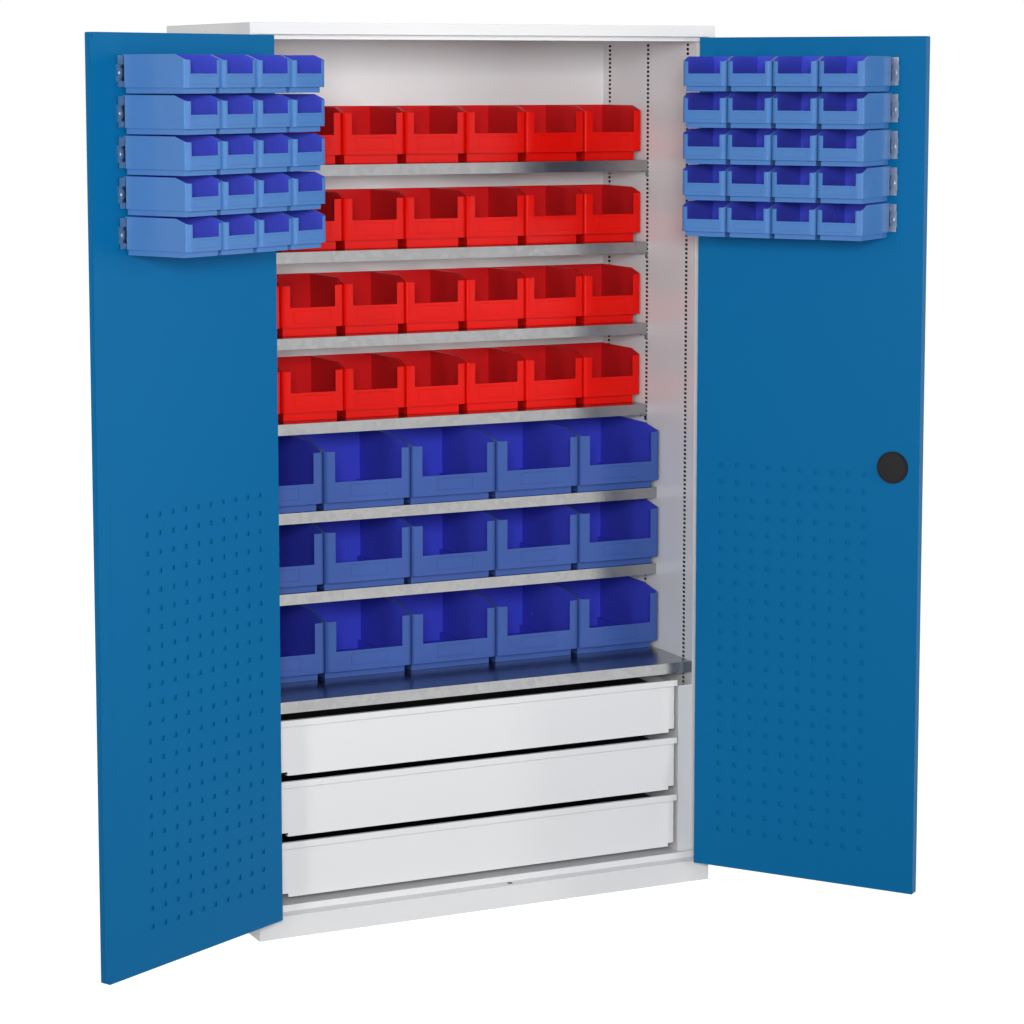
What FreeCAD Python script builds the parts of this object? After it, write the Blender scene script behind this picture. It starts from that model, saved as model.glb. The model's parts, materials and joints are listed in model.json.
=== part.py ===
"""Tool cabinet with two hinged doors, seven shelves of open bins, three drawers and door bins.

Lengths are in millimetres. X runs to the right, Y from the front to the back and Z up.
The origin is the centre of the footprint, on the underside of the base's middle bearer.
Shapes are worked out with Y counted from the front plane, and with the doors shut.
The last step moves them back by half the depth, and turns each door to where it stands open.
"""
import FreeCAD, Part
import math
import os
from collections import namedtuple

Vector = FreeCAD.Vector

# Case
case_width = 1100.0
case_depth = 535.0
case_height = 1950.0
sheet = 1.0
front_flange = 15.5
jamb_depth = 43.0
liner_inset = 7.5
back_recess = 38.0
fascia_height = 24.0
stop_setback = 28.0
stop_height = 10.0
plinth_height = 48.0
ledge_depth = 30.0
floor_rise = 14.0
rail_flange = 30.0
bearer_width = 40.0
bearer_gauge = 2.0

# Slots in the side liners
slot_setbacks = (85.0, 273.0, 464.0)
slot_width = 13.0
slot_height = 5.5
slot_pitch = 10.0
slot_margin = 7.0

# Shelves, each hung at a numbered slot, from the top down
shelf_slots = (155, 136, 117, 98, 79, 61, 41)
red_shelf_count = 4
blue_shelf_count = 2
shelf_height = 25.0
shelf_lip = 12.0
shelf_side_gap = 1.0
red_shelf_setback = 270.0
blue_shelf_setback = 217.0
bottom_shelf_setback = 43.0
clip_gauge = 2.0
clip_width = 11.0
clip_reach = 14.0
clip_height = 12.0
seat_gap = 0.3

# Open bins
BinSize = namedtuple("BinSize", "width length height foot_height foot_setback foot_inset wall "
                     "front_height pillar_width shoulder_length shoulder_drop corner_radius pitch count")
red_bin = BinSize(width=148.5, length=200.0, height=126.0, foot_height=20.0, foot_setback=20.0,
                  foot_inset=10.0, wall=2.5, front_height=65.0, pillar_width=21.0,
                  shoulder_length=45.0, shoulder_drop=13.0, corner_radius=6.0, pitch=150.0, count=7)
blue_bin = BinSize(width=208.5, length=300.0, height=147.0, foot_height=20.0, foot_setback=28.0,
                   foot_inset=8.0, wall=3.0, front_height=65.0, pillar_width=20.0,
                   shoulder_length=75.0, shoulder_drop=14.0, corner_radius=8.0, pitch=210.0, count=5)
door_bin = BinSize(width=103.5, length=160.0, height=75.0, foot_height=11.0, foot_setback=12.0,
                   foot_inset=5.0, wall=2.0, front_height=38.0, pillar_width=14.0,
                   shoulder_length=30.0, shoulder_drop=11.0, corner_radius=5.0, pitch=105.0, count=4)
bin_rear_gap = 1.0
knee_length_share = 0.5
knee_drop_share = 0.25

# Drawers
drawer_count = 3
drawer_pitch = 134.0
top_drawer_below_shelf = 14.0
drawer_face_setback = 43.0
drawer_face_gap = 11.0
drawer_face_height = 122.5
drawer_face_return = 15.0
drawer_notch_width = 14.0
drawer_notch_height = 8.0
lip_reach = 8.0
lip_height = 14.0
lip_overhang = 4.0
tray_depth = 440.0
tray_height = 85.0
tray_side_gap = 22.0
tray_drop = 25.0
bay_inset = 35.0
bay_top_gap = 29.0

# Drawer runners
runner_height = 35.0
runner_gauge = 1.5
runner_flange = 10.0
runner_length = 430.0
runner_face_gap = 2.0
runner_neck = 4.0
runner_web = 24.0
runner_lift = 40.0
runner_gap = 0.3

# Doors
door_depth = 25.0
door_gap = 3.0
door_side_gap = 3.0
door_top_gap = 2.0
door_floor_gap = 2.0
door_flange = 15.0
left_open_angle = 151.1
right_open_angle = 125.7
hole_side = 10.0
hole_pitch = 38.0
hole_columns = 10
hole_rows = 23
hole_hinge_margin = 62.0
hole_bottom_margin = 88.0
strip_seat = 18.0
strip_overlap = 12.0
strip_gauge = 1.8
strip_relief = 0.6
strip_end_gap = 12.0

# Door hinges, three to a door
hinge_pin_forward = 6.0
hinge_pin_inset = 4.5
knuckle_radius = 5.5
hinge_pin_radius = 2.5
hinge_pin_gap = 0.3
hinge_height = 80.0
hinge_gauge = 3.0
hinge_leaf = 28.0
hinge_bridge_back = 1.0
hinge_bridge_gauge = 4.0
hinge_frame_margin = 2.0
hinge_end_distance = 190.0
hinges_per_door = 3

# Door rails and their screws
rails_per_door = 5
rail_top_margin = 44.5
rail_pitch = 78.25
rail_height = 60.0
rail_start = 20.0
rail_length = 450.0
rail_gauge = 1.2
rail_reach = 5.0
rail_top_lip = 16.0
rail_bottom_lip = 10.0
rail_pad_height = 16.0
rail_pad_gauge = 3.0
bin_rail_start = 35.0
hook_gauge = 2.0
hook_drop = 10.0
hook_gap = 0.3
screw_end_distance = 7.5
screw_head_radius = 4.0
screw_head_height = 1.8
screw_shank_radius = 2.0
screw_tip = 1.5
screw_hole_gap = 0.2

# Lock of the right door
lock_free_edge_distance = 60.7
lock_height = 945.0
lock_cover_radius = 35.0
lock_cover_height = 7.0
lock_cover_rim = 3.0
lock_cover_recess = 1.5
plate_radius = 32.0
plate_height = 6.0
handle_gap = 0.3
handle_hub_radius = 17.0
handle_hub_height = 10.0
handle_grip_length = 96.0
handle_grip_width = 24.0
handle_grip_height = 16.0
spindle_side = 8.0
spindle_gap = 0.3
cylinder_radius = 7.0
cylinder_depth = 18.0
cylinder_gap = 0.3
key_slot_width = 2.0
key_slot_height = 8.0
key_slot_depth = 6.0
rod_travel = 12.0
rod_radius = 4.0
rod_gap = 0.3
rod_hole_play = 2.0
rod_setback = 18.0
rack_width = 6.0
rack_depth = 8.0
rack_half_length = 26.0
pinion_depth = 8.0
pinion_gap = 0.3
lock_case_gauge = 1.5
lock_case_half_height = 20.0
lock_opening_radius = 12.0

# Places worked out from the sizes above
outer_x = case_width / 2
jamb_x = outer_x - front_flange
liner_x = jamb_x - liner_inset
back_y = case_depth - back_recess
rear_y = case_depth - sheet
roof_underside = case_height - sheet
fascia_bottom = case_height - fascia_height
floor_height = plinth_height + floor_rise
slot_start = floor_height + slot_margin
slot_count = int((fascia_bottom - sheet - slot_start) / slot_pitch)
bay_half_width = liner_x - bay_inset
drawer_face_half_width = bay_half_width - drawer_face_gap
tray_half_width = bay_half_width - tray_side_gap
runner_setback = drawer_face_setback + drawer_face_return + runner_face_gap
door_hinge_x = jamb_x - door_side_gap
door_width = door_hinge_x - door_gap / 2
door_bottom = plinth_height + door_floor_gap
door_top = fascia_bottom - door_top_gap
screw_shank_length = rail_pad_gauge + sheet + screw_tip
pin_x = door_hinge_x - hinge_pin_inset
lock_along = door_width - lock_free_edge_distance
lock_z = door_bottom + lock_height
pitch_radius = rod_travel / (math.pi / 2)
left, right = -1, 1


def block(x_low, x_high, y_low, y_high, z_low, z_high):
    """A box between two limits on each axis."""
    corner = Vector(min(x_low, x_high), y_low, z_low)
    return Part.makeBox(abs(x_high - x_low), y_high - y_low, z_high - z_low, corner)


def prism(points, run):
    """A flat outline, given as vectors, pulled along the run."""
    return Part.Face(Part.makePolygon(points + points[:1])).extrude(run)


def prism_x(outline, x_low, x_high):
    """An outline of (y, z) points pulled from one x to the other."""
    return prism([Vector(x_low, y, z) for y, z in outline], Vector(x_high - x_low, 0, 0))


def rod_y(x, y_low, y_high, z, radius):
    """A round bar from front to back."""
    return Part.makeCylinder(radius, y_high - y_low, Vector(x, y_low, z), Vector(0, 1, 0))


def rod_z(x, y, z_low, z_high, radius):
    """An upright round bar."""
    return Part.makeCylinder(radius, z_high - z_low, Vector(x, y, z_low))


def joined(shapes):
    """Touching shapes made one piece."""
    return shapes[0].fuse(shapes[1:]).removeSplitter()


def holed_plate(outline, holes, run):
    """A flat sheet with its openings, all given as wires drawn the same way round in one plane."""
    return Part.Face([outline] + [hole.reversed() for hole in holes]).extrude(run)


def loop(points):
    """A closed wire through the points."""
    return Part.makePolygon(points + points[:1])


# Case

def side_panel(side):
    """The outer side sheet, folded in at the front as the door jamb with its step, and at the rear."""
    skin = block(side * (outer_x - sheet), side * outer_x, sheet, rear_y, 0, roof_underside)
    face = block(side * jamb_x, side * outer_x, 0, sheet, plinth_height, fascia_bottom)
    jamb = block(side * jamb_x, side * (jamb_x + sheet), 0, jamb_depth, plinth_height, fascia_bottom)
    step = block(side * liner_x, side * (jamb_x + sheet), jamb_depth - sheet, jamb_depth,
                 floor_height, fascia_bottom)
    rear = block(side * jamb_x, side * outer_x, rear_y, case_depth, 0, roof_underside)
    return joined([skin, face, jamb, step, rear])


def slot_wires(x, setback):
    """The column of slots at one distance behind the front."""
    wires = []
    for number in range(slot_count):
        z = slot_start + number * slot_pitch
        y_low, y_high = setback - slot_width / 2, setback + slot_width / 2
        z_low, z_high = z - slot_height / 2, z + slot_height / 2
        wires.append(loop([Vector(x, y_low, z_low), Vector(x, y_high, z_low),
                           Vector(x, y_high, z_high), Vector(x, y_low, z_high)]))
    return wires


def side_liner(side):
    """The slotted inner side wall that carries the shelves, from the jamb's step to the back."""
    x = side * liner_x
    outline = loop([Vector(x, jamb_depth, floor_height), Vector(x, back_y, floor_height),
                    Vector(x, back_y, roof_underside), Vector(x, jamb_depth, roof_underside)])
    slots = [wire for setback in slot_setbacks for wire in slot_wires(x, setback)]
    return holed_plate(outline, slots, Vector(side * sheet, 0, 0))


def back_panel():
    """The back sheet, a shallow pan whose edges turn back to the rear plane."""
    half = outer_x - sheet
    body = block(-half, half, back_y, rear_y, plinth_height, roof_underside)
    hollow = block(-half + sheet, half - sheet, back_y + sheet, case_depth,
                   plinth_height + sheet, roof_underside - sheet)
    return body.cut(hollow)


def roof_panel():
    """The roof sheet with its front fascia, turned back and down as a stop for the doors."""
    top = block(-outer_x, outer_x, 0, case_depth, roof_underside, case_height)
    fascia = block(-outer_x, outer_x, 0, sheet, fascia_bottom, case_height)
    back_turn = block(-jamb_x, jamb_x, 0, stop_setback + sheet, fascia_bottom, fascia_bottom + sheet)
    stop = block(-jamb_x, jamb_x, stop_setback, stop_setback + sheet,
                 fascia_bottom - stop_height, fascia_bottom + sheet)
    shape = joined([top, fascia, back_turn, stop])
    x, y = rod_axis(upper=True)
    return shape.cut(rod_z(x, y, fascia_bottom - sheet, fascia_bottom + 2 * sheet, rod_radius + rod_hole_play))


def base_frame():
    """The welded base: plinth, side and rear rails and a bearer down the middle."""
    half = outer_x - sheet
    flange_top = plinth_height - sheet
    bearer_half = bearer_width / 2
    web_half = bearer_gauge / 2
    pieces = [
        block(-outer_x, outer_x, 0, sheet, 0, plinth_height),
        block(-half, half, sheet, ledge_depth + sheet, flange_top, plinth_height),
        block(-half, half, sheet, ledge_depth + sheet, 0, sheet),
        block(-half, half, rear_y - sheet, rear_y, 0, plinth_height),
        block(-half, half, back_y, rear_y, flange_top, plinth_height),
        block(-half, half, back_y, rear_y, 0, sheet),
        block(-web_half, web_half, ledge_depth, back_y, 0, plinth_height),
        block(-bearer_half, bearer_half, ledge_depth, back_y, 0, sheet),
        block(-bearer_half, bearer_half, ledge_depth, back_y, flange_top, plinth_height),
    ]
    for side in (left, right):
        inner = half - rail_flange
        pieces.append(block(side * (half - sheet), side * half, sheet, rear_y, 0, plinth_height))
        pieces.append(block(side * inner, side * half, ledge_depth, back_y, 0, sheet))
        pieces.append(block(side * inner, side * half, ledge_depth, back_y, flange_top, plinth_height))
    x, y = rod_axis(upper=False)
    hole = rod_z(x, y, flange_top - sheet, plinth_height + sheet, rod_radius + rod_hole_play)
    return joined(pieces).cut(hole)


def floor_panel():
    """The cabinet floor, a shallow tray turned upside down on the base."""
    body = block(-jamb_x, jamb_x, ledge_depth, back_y, plinth_height, floor_height)
    hollow = block(-jamb_x + sheet, jamb_x - sheet, ledge_depth + sheet, back_y - sheet,
                   plinth_height - sheet, floor_height - sheet)
    return body.cut(hollow)


# Shelves

def shelf_bottom(number):
    """The height of the underside of a shelf's edges."""
    return slot_start + shelf_slots[number] * slot_pitch + clip_gauge / 2


def shelf_top(number):
    """The height of a shelf's surface."""
    return shelf_bottom(number) + shelf_height


def shelf_setback(number):
    """How far a shelf's front edge lies behind the front plane."""
    if number < red_shelf_count:
        return red_shelf_setback
    if number < red_shelf_count + blue_shelf_count:
        return blue_shelf_setback
    return bottom_shelf_setback


def shelf(number):
    """A shelf: a sheet with all four edges turned down and a lip under the front one."""
    half = liner_x - shelf_side_gap
    y_low = shelf_setback(number)
    z_low, z_high = shelf_bottom(number), shelf_top(number)
    body = block(-half, half, y_low, back_y, z_low, z_high)
    hollow = block(-half + sheet, half - sheet, y_low + sheet, back_y - sheet, z_low - sheet, z_high - sheet)
    lip = block(-half, half, y_low, y_low + shelf_lip, z_low, z_low + sheet)
    return joined([body.cut(hollow), lip])


def shelf_clip(side, setback, z):
    """A clip hooked through a slot: its plate lies on the liner and its ledge carries a shelf."""
    back = sheet + seat_gap
    section = [
        (-clip_reach, 0), (back + clip_gauge, 0), (back + clip_gauge, -clip_height),
        (back, -clip_height), (back, -clip_gauge), (0, -clip_gauge), (0, -clip_height),
        (-clip_gauge, -clip_height), (-clip_gauge, -clip_gauge), (-clip_reach, -clip_gauge),
    ]
    y = setback - clip_width / 2
    points = [Vector(side * (liner_x + out), y, z + up) for out, up in section]
    return prism(points, Vector(0, clip_width, 0))


def shelf_clips():
    """Four clips under each shelf, in the slot columns nearest its front and rear edges."""
    clips = []
    for number in range(len(shelf_slots)):
        columns = [s for s in slot_setbacks if s > shelf_setback(number)]
        for setback in (columns[0], columns[-1]):
            for side in (left, right):
                clips.append(shelf_clip(side, setback, shelf_bottom(number)))
    return clips


# Open bins

def bin_shell(size):
    """The outside of a bin over its foot, with the tops of its side walls falling to the front."""
    half = size.width / 2
    shoulder = size.height - size.shoulder_drop
    outline = [
        (0, size.foot_height),
        (0, shoulder),
        (size.shoulder_length * knee_length_share, size.height - size.shoulder_drop * knee_drop_share),
        (size.shoulder_length, size.height),
        (size.length, size.height),
        (size.length, size.foot_height),
    ]
    shell = prism_x(outline, -half, half)
    edges = [edge for edge in shell.Edges
             if edge.BoundBox.YMax < size.wall and edge.BoundBox.XLength < size.wall]
    return shell.makeFillet(size.corner_radius, edges)


def open_bin(size):
    """An open-fronted bin, centred on x, with its front at y zero and its foot at z zero."""
    half, foot_half = size.width / 2, size.width / 2 - size.foot_inset
    wall, ledge = size.wall, size.foot_height + size.wall
    foot = block(-foot_half, foot_half, size.foot_setback, size.length, 0, size.foot_height)
    inside = block(-half + wall, half - wall, wall, size.length - wall, ledge, size.height + wall)
    foot_inside = block(-foot_half + wall, foot_half - wall, size.foot_setback + wall,
                        size.length - wall, wall, ledge)
    window = block(-half + size.pillar_width, half - size.pillar_width, -wall, 2 * wall,
                   size.front_height, size.height + wall)
    return joined([bin_shell(size), foot]).cut([inside, foot_inside, window])


def bin_row(number):
    """The bins that stand side by side on one shelf."""
    size = red_bin if number < red_shelf_count else blue_bin
    shape = open_bin(size)
    y = back_y - bin_rear_gap - size.length
    z = shelf_top(number) + seat_gap
    first = -(size.count - 1) * size.pitch / 2
    return [shape.translated(Vector(first + place * size.pitch, y, z)) for place in range(size.count)]


# Drawers

def drawer_top(number):
    """The height of a drawer's lip, counting from the top drawer."""
    return shelf_bottom(len(shelf_slots) - 1) - top_drawer_below_shelf - number * drawer_pitch


def drawer_front(number):
    """A drawer's face sheet, notched at its lower corners, with its grip lip along the top."""
    top = drawer_top(number)
    bottom = top - drawer_face_height
    half, y = drawer_face_half_width, drawer_face_setback
    notch_x, notch_z = half - drawer_notch_width, bottom + drawer_notch_height
    lip_half, lip_y = half + lip_overhang, y - lip_reach
    outline = [(-notch_x, bottom), (notch_x, bottom), (notch_x, notch_z), (half, notch_z),
               (half, top), (-half, top), (-half, notch_z), (-notch_x, notch_z)]
    face = prism([Vector(x, y, z) for x, z in outline], Vector(0, sheet, 0))
    pieces = [
        face,
        block(-notch_x, notch_x, y, y + drawer_face_return, bottom, bottom + sheet),
        block(-lip_half, lip_half, lip_y, y + sheet, top - sheet, top),
        block(-lip_half, lip_half, lip_y, lip_y + sheet, top - lip_height, top),
    ]
    for side in (left, right):
        pieces.append(block(side * (half - sheet), side * half, y, y + drawer_face_return, notch_z, top))
        pieces.append(block(side * (lip_half - sheet), side * lip_half, lip_y, y, top - lip_height, top))
        pieces.append(block(side * (half - sheet), side * lip_half, y, y + sheet, top - lip_height, top))
    return joined(pieces)


def drawer_tray(number):
    """A drawer's box, open at the top."""
    z_high = drawer_top(number) - tray_drop
    z_low = z_high - tray_height
    half, y = tray_half_width, drawer_face_setback + sheet
    body = block(-half, half, y, y + tray_depth, z_low, z_high)
    hollow = block(-half + sheet, half - sheet, y + sheet, y + tray_depth - sheet, z_low + sheet, z_high + sheet)
    return body.cut(hollow)


def runner_z(number):
    """The middle height of a drawer's runners."""
    return drawer_top(number) - tray_drop - tray_height + runner_lift


def fixed_runner(side, number):
    """The outer member of a runner, a channel open towards the drawer."""
    z, half = runner_z(number), runner_height / 2
    y_low, y_high = runner_setback, runner_setback + runner_length
    inner = bay_half_width - runner_flange
    web = block(side * (bay_half_width - runner_gauge), side * bay_half_width, y_low, y_high, z - half, z + half)
    top = block(side * inner, side * bay_half_width, y_low, y_high, z + half - runner_gauge, z + half)
    bottom = block(side * inner, side * bay_half_width, y_low, y_high, z - half, z - half + runner_gauge)
    return joined([web, top, bottom])


def moving_runner(side, number):
    """The inner member of a runner, fixed to the drawer and guided in the outer one."""
    z = runner_z(number)
    y_low, y_high = runner_setback, runner_setback + runner_length
    head_in = bay_half_width - runner_flange + runner_gap
    head_out = bay_half_width - runner_gauge - runner_gap
    head_half = runner_height / 2 - runner_gauge - runner_gap
    web_half, neck_half = runner_web / 2, runner_neck / 2
    web = block(side * tray_half_width, side * (tray_half_width + runner_gauge), y_low, y_high,
                z - web_half, z + web_half)
    neck = block(side * tray_half_width, side * head_in, y_low, y_high, z - neck_half, z + neck_half)
    head = block(side * head_in, side * head_out, y_low, y_high, z - head_half, z + head_half)
    return joined([web, neck, head])


def bay_side(side):
    """The upright channel beside the drawers: its front fills the gap to the liner."""
    z_high = shelf_bottom(len(shelf_slots) - 1) - bay_top_gap
    y_low = drawer_face_setback
    web = block(side * bay_half_width, side * (bay_half_width + sheet), y_low, back_y, floor_height, z_high)
    face = block(side * bay_half_width, side * liner_x, y_low, y_low + sheet, floor_height, z_high)
    rear = block(side * bay_half_width, side * liner_x, back_y - sheet, back_y, floor_height, z_high)
    return joined([web, face, rear])


# Doors

def door_x(side, along):
    """The x of a point on the shut door, given its distance from the hinge edge."""
    return side * (door_hinge_x - along)


def door_block(side, along_low, along_high, y_low, y_high, z_low, z_high):
    """A box on the shut door, given by distances from the hinge edge."""
    return block(door_x(side, along_low), door_x(side, along_high), y_low, y_high, z_low, z_high)


def opened(side, shape):
    """A shape on the shut door, turned to where the door stands open."""
    angle = -left_open_angle if side == left else right_open_angle
    turned = shape.copy()
    turned.rotate(Vector(side * pin_x, -hinge_pin_forward, 0), Vector(0, 0, 1), angle)
    return turned


def door_outer(side):
    """The outer door sheet, folded back at all four edges and in again behind the liner."""
    inner_y = door_depth - sheet
    body = door_block(side, 0, door_width, 0, inner_y, door_bottom, door_top)
    hollow = door_block(side, sheet, door_width - sheet, sheet, inner_y - sheet,
                        door_bottom + sheet, door_top - sheet)
    mouth = door_block(side, door_flange, door_width - door_flange, sheet, inner_y + sheet,
                       door_bottom + door_flange, door_top - door_flange)
    shape = body.cut([hollow, mouth])
    if side == left:
        return shape
    cuts = [rod_y(door_x(side, lock_along), -sheet, 2 * sheet, lock_z, lock_opening_radius)]
    for upper, z in ((True, door_top), (False, door_bottom)):
        x, y = rod_axis(upper)
        cuts.append(rod_z(x, y, z - 2 * sheet, z + 2 * sheet, rod_radius + rod_gap))
    return shape.cut(cuts)


def round_wire(x, y, z, radius):
    """A circle standing across the depth."""
    return Part.Wire(Part.makeCircle(radius, Vector(x, y, z), Vector(0, -1, 0)))


def square_wire(x, y, z, side_length):
    """A square standing across the depth."""
    half = side_length / 2
    return loop([Vector(x - half, y, z - half), Vector(x + half, y, z - half),
                 Vector(x + half, y, z + half), Vector(x - half, y, z + half)])


def door_liner(side):
    """The inner door sheet with its field of square tool holes."""
    y = door_depth - sheet
    x_low, x_high = sorted((door_x(side, 0), door_x(side, door_width)))
    outline = loop([Vector(x_low, y, door_bottom), Vector(x_high, y, door_bottom),
                    Vector(x_high, y, door_top), Vector(x_low, y, door_top)])
    holes = []
    for column in range(hole_columns):
        x = door_x(side, hole_hinge_margin + column * hole_pitch)
        for row in range(hole_rows):
            z = door_bottom + hole_bottom_margin + row * hole_pitch
            holes.append(square_wire(x, y, z, hole_side))
    for along, z in screw_places():
        holes.append(round_wire(door_x(side, along), y, z, screw_shank_radius + screw_hole_gap))
    if side == right:
        holes.append(round_wire(door_x(side, lock_along), y, lock_z, lock_opening_radius))
    return holed_plate(outline, holes, Vector(0, sheet, 0))


def overlap_strip():
    """The strip inside the left door's free edge that the right door closes over."""
    z_low, z_high = door_bottom + strip_end_gap, door_top - strip_end_gap
    seat = door_block(left, door_width - strip_seat, door_width - strip_relief, door_depth,
                      door_depth + strip_gauge, z_low, z_high)
    tongue = door_block(left, door_width - 2 * strip_relief, door_width + strip_overlap,
                        door_depth + strip_relief, door_depth + strip_gauge, z_low, z_high)
    return joined([seat, tongue])


# Hinges

def hinge_middles():
    """The heights of the middles of a door's hinges."""
    low, high = door_bottom + hinge_end_distance, door_top - hinge_end_distance
    step = (high - low) / (hinges_per_door - 1)
    return [low + number * step for number in range(hinges_per_door)]


def hinge_frame_half(side, middle):
    """The lower half of a hinge, on the case's front flange, with its fixed pin."""
    z_low = middle - hinge_height / 2
    z_high = middle - hinge_pin_gap
    x, y = side * pin_x, -hinge_pin_forward
    leaf = block(side * jamb_x, side * (outer_x - hinge_frame_margin), -hinge_gauge, 0, z_low, z_high)
    bridge = block(x, side * (jamb_x + hinge_gauge), -hinge_bridge_back - hinge_bridge_gauge,
                   -hinge_bridge_back, z_low, z_high)
    knuckle = rod_z(x, y, z_low, z_high, knuckle_radius)
    pin = rod_z(x, y, z_low, middle + hinge_height / 2 - hinge_gauge, hinge_pin_radius)
    return joined([leaf, bridge, knuckle, pin])


def hinge_door_half(side, middle):
    """The upper half of a hinge, on the door's outer face, bored for the pin."""
    z_low, z_high = middle, middle + hinge_height / 2
    x, y = side * pin_x, -hinge_pin_forward
    leaf = door_block(side, hinge_pin_inset, hinge_pin_inset + hinge_leaf, -hinge_gauge, 0, z_low, z_high)
    knuckle = rod_z(x, y, z_low, z_high, knuckle_radius)
    bore = rod_z(x, y, z_low - sheet, z_high - hinge_gauge + hinge_pin_gap, hinge_pin_radius + hinge_pin_gap)
    return joined([leaf, knuckle]).cut(bore)


# Door rails and bins

def rail_top(number):
    """The height of the top of a door rail, counting from the top."""
    return door_top - rail_top_margin - number * rail_pitch


def screw_places():
    """Where the rail screws go: distance from the hinge edge and height."""
    pad_middle = rail_bottom_lip + (rail_height - rail_top_lip - rail_bottom_lip) / 2
    ends = (rail_start + screw_end_distance, rail_start + rail_length - screw_end_distance)
    return [(along, rail_top(number) - rail_height + pad_middle)
            for number in range(rails_per_door) for along in ends]


def door_rail(side, number):
    """A rolled rail: two lips stand off the door, with a pad for the screws between them."""
    bottom = rail_top(number) - rail_height
    low, high = rail_bottom_lip, rail_height - rail_top_lip
    pad_low = (low + high - rail_pad_height) / 2
    pad_high = pad_low + rail_pad_height
    web, lip, out = rail_gauge, rail_reach - rail_gauge, rail_reach
    section = [
        (lip, 0), (out, 0), (out, low + web), (web, low + web), (web, pad_low),
        (rail_pad_gauge, pad_low), (rail_pad_gauge, pad_high), (web, pad_high), (web, high - web),
        (out, high - web), (out, rail_height), (lip, rail_height), (lip, high), (0, high),
        (0, low), (lip, low),
    ]
    outline = [(door_depth + y, bottom + z) for y, z in section]
    ends = sorted((door_x(side, rail_start), door_x(side, rail_start + rail_length)))
    rail = prism_x(outline, *ends)
    holes = [rod_y(door_x(side, along), door_depth - sheet, door_depth + rail_reach, z,
                   screw_shank_radius + screw_hole_gap)
             for along, z in screw_places()[2 * number:2 * number + 2]]
    return rail.cut(holes)


def rail_screws(side):
    """The screws that hold the rails to the door."""
    seat = door_depth + rail_pad_gauge
    return [joined([rod_y(door_x(side, along), seat, seat + screw_head_height, z, screw_head_radius),
                    rod_y(door_x(side, along), seat - screw_shank_length, seat, z, screw_shank_radius)])
            for along, z in screw_places()]


def hooked_bin():
    """A door bin with the hook along its rear edge, its rear wall at y zero, facing back."""
    size = door_bin
    half = size.width / 2
    shape = open_bin(size)
    shape.rotate(Vector(0, 0, 0), Vector(0, 0, 1), 180)
    shape.translate(Vector(0, size.length, 0))
    over = hook_gap + rail_gauge + hook_gap + hook_gauge
    shelf_part = block(-half, half, -over, size.wall, size.height - hook_gauge, size.height)
    drop = block(-half, half, -over, -over + hook_gauge, size.height - hook_drop, size.height)
    return joined([shape, shelf_part, drop])


def door_bins(side, rails):
    """The bins hooked over some of a door's rails."""
    shape = hooked_bin()
    y = door_depth + rail_reach + hook_gap
    bins = []
    for number in rails:
        z = rail_top(number) + hook_gap + hook_gauge - door_bin.height
        for place in range(door_bin.count):
            along = bin_rail_start + door_bin.pitch / 2 + place * door_bin.pitch
            bins.append(shape.translated(Vector(door_x(side, along), y, z)))
    return bins


# Lock

def rod_axis(upper):
    """The x and y of a locking rod's axis, beside the pinion on the shut right door."""
    offset = pitch_radius + rack_width / 2
    centre = door_x(right, lock_along)
    return (centre + offset if upper else centre - offset), rod_setback


def lock_rod(upper):
    """A locking rod with the rack that the pinion drives."""
    x, y = rod_axis(upper)
    rack = block(x - rack_width / 2, x + rack_width / 2, y - rack_depth / 2, y + rack_depth / 2,
                 lock_z - rack_half_length, lock_z + rack_half_length)
    if upper:
        return joined([rack, rod_z(x, y, lock_z + rack_half_length, door_top, rod_radius)])
    return joined([rack, rod_z(x, y, door_bottom, lock_z - rack_half_length, rod_radius)])


def lock_pinion():
    """The pinion on the spindle, drawn as its pitch cylinder."""
    x = door_x(right, lock_along)
    y_low = rod_setback - pinion_depth / 2
    drum = rod_y(x, y_low, y_low + pinion_depth, lock_z, pitch_radius - pinion_gap)
    return drum.cut(spindle_bar(x, y_low - sheet, y_low + pinion_depth + sheet, spindle_side + 2 * spindle_gap))


def spindle_bar(x, y_low, y_high, width):
    """A square bar on the lock's axis."""
    half = width / 2
    return block(x - half, x + half, y_low, y_high, lock_z - half, lock_z + half)


def lock_case():
    """The case around the pinion and racks, fixed behind the door liner and open above and below."""
    x = door_x(right, lock_along)
    half = pitch_radius + rack_width + rod_gap + lock_case_gauge
    depth_half = rack_depth / 2 + rod_gap
    y_low, y_high = rod_setback - depth_half - lock_case_gauge, rod_setback + depth_half + lock_case_gauge
    z_low, z_high = lock_z - lock_case_half_height, lock_z + lock_case_half_height
    body = block(x - half, x + half, y_low, y_high, z_low, z_high)
    channel = block(x - half + lock_case_gauge, x + half - lock_case_gauge, y_low + lock_case_gauge,
                    y_high - lock_case_gauge, z_low - sheet, z_high + sheet)
    bore = rod_y(x, y_low - sheet, y_high + sheet, lock_z, spindle_side)
    return body.cut([channel, bore])


def lock_cover():
    """The round cap over the lock on the inside of the door, dished within its rim."""
    x = door_x(right, lock_along)
    y_high = door_depth + lock_cover_height
    cap = rod_y(x, door_depth, y_high, lock_z, lock_cover_radius)
    dish = rod_y(x, y_high - lock_cover_recess, y_high + sheet, lock_z, lock_cover_radius - lock_cover_rim)
    return cap.cut(dish)


def handle_plate():
    """The round plate under the handle on the outside of the door."""
    x = door_x(right, lock_along)
    plate = rod_y(x, -plate_height, 0, lock_z, plate_radius)
    return plate.cut(rod_y(x, -plate_height - sheet, sheet, lock_z, spindle_side))


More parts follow.
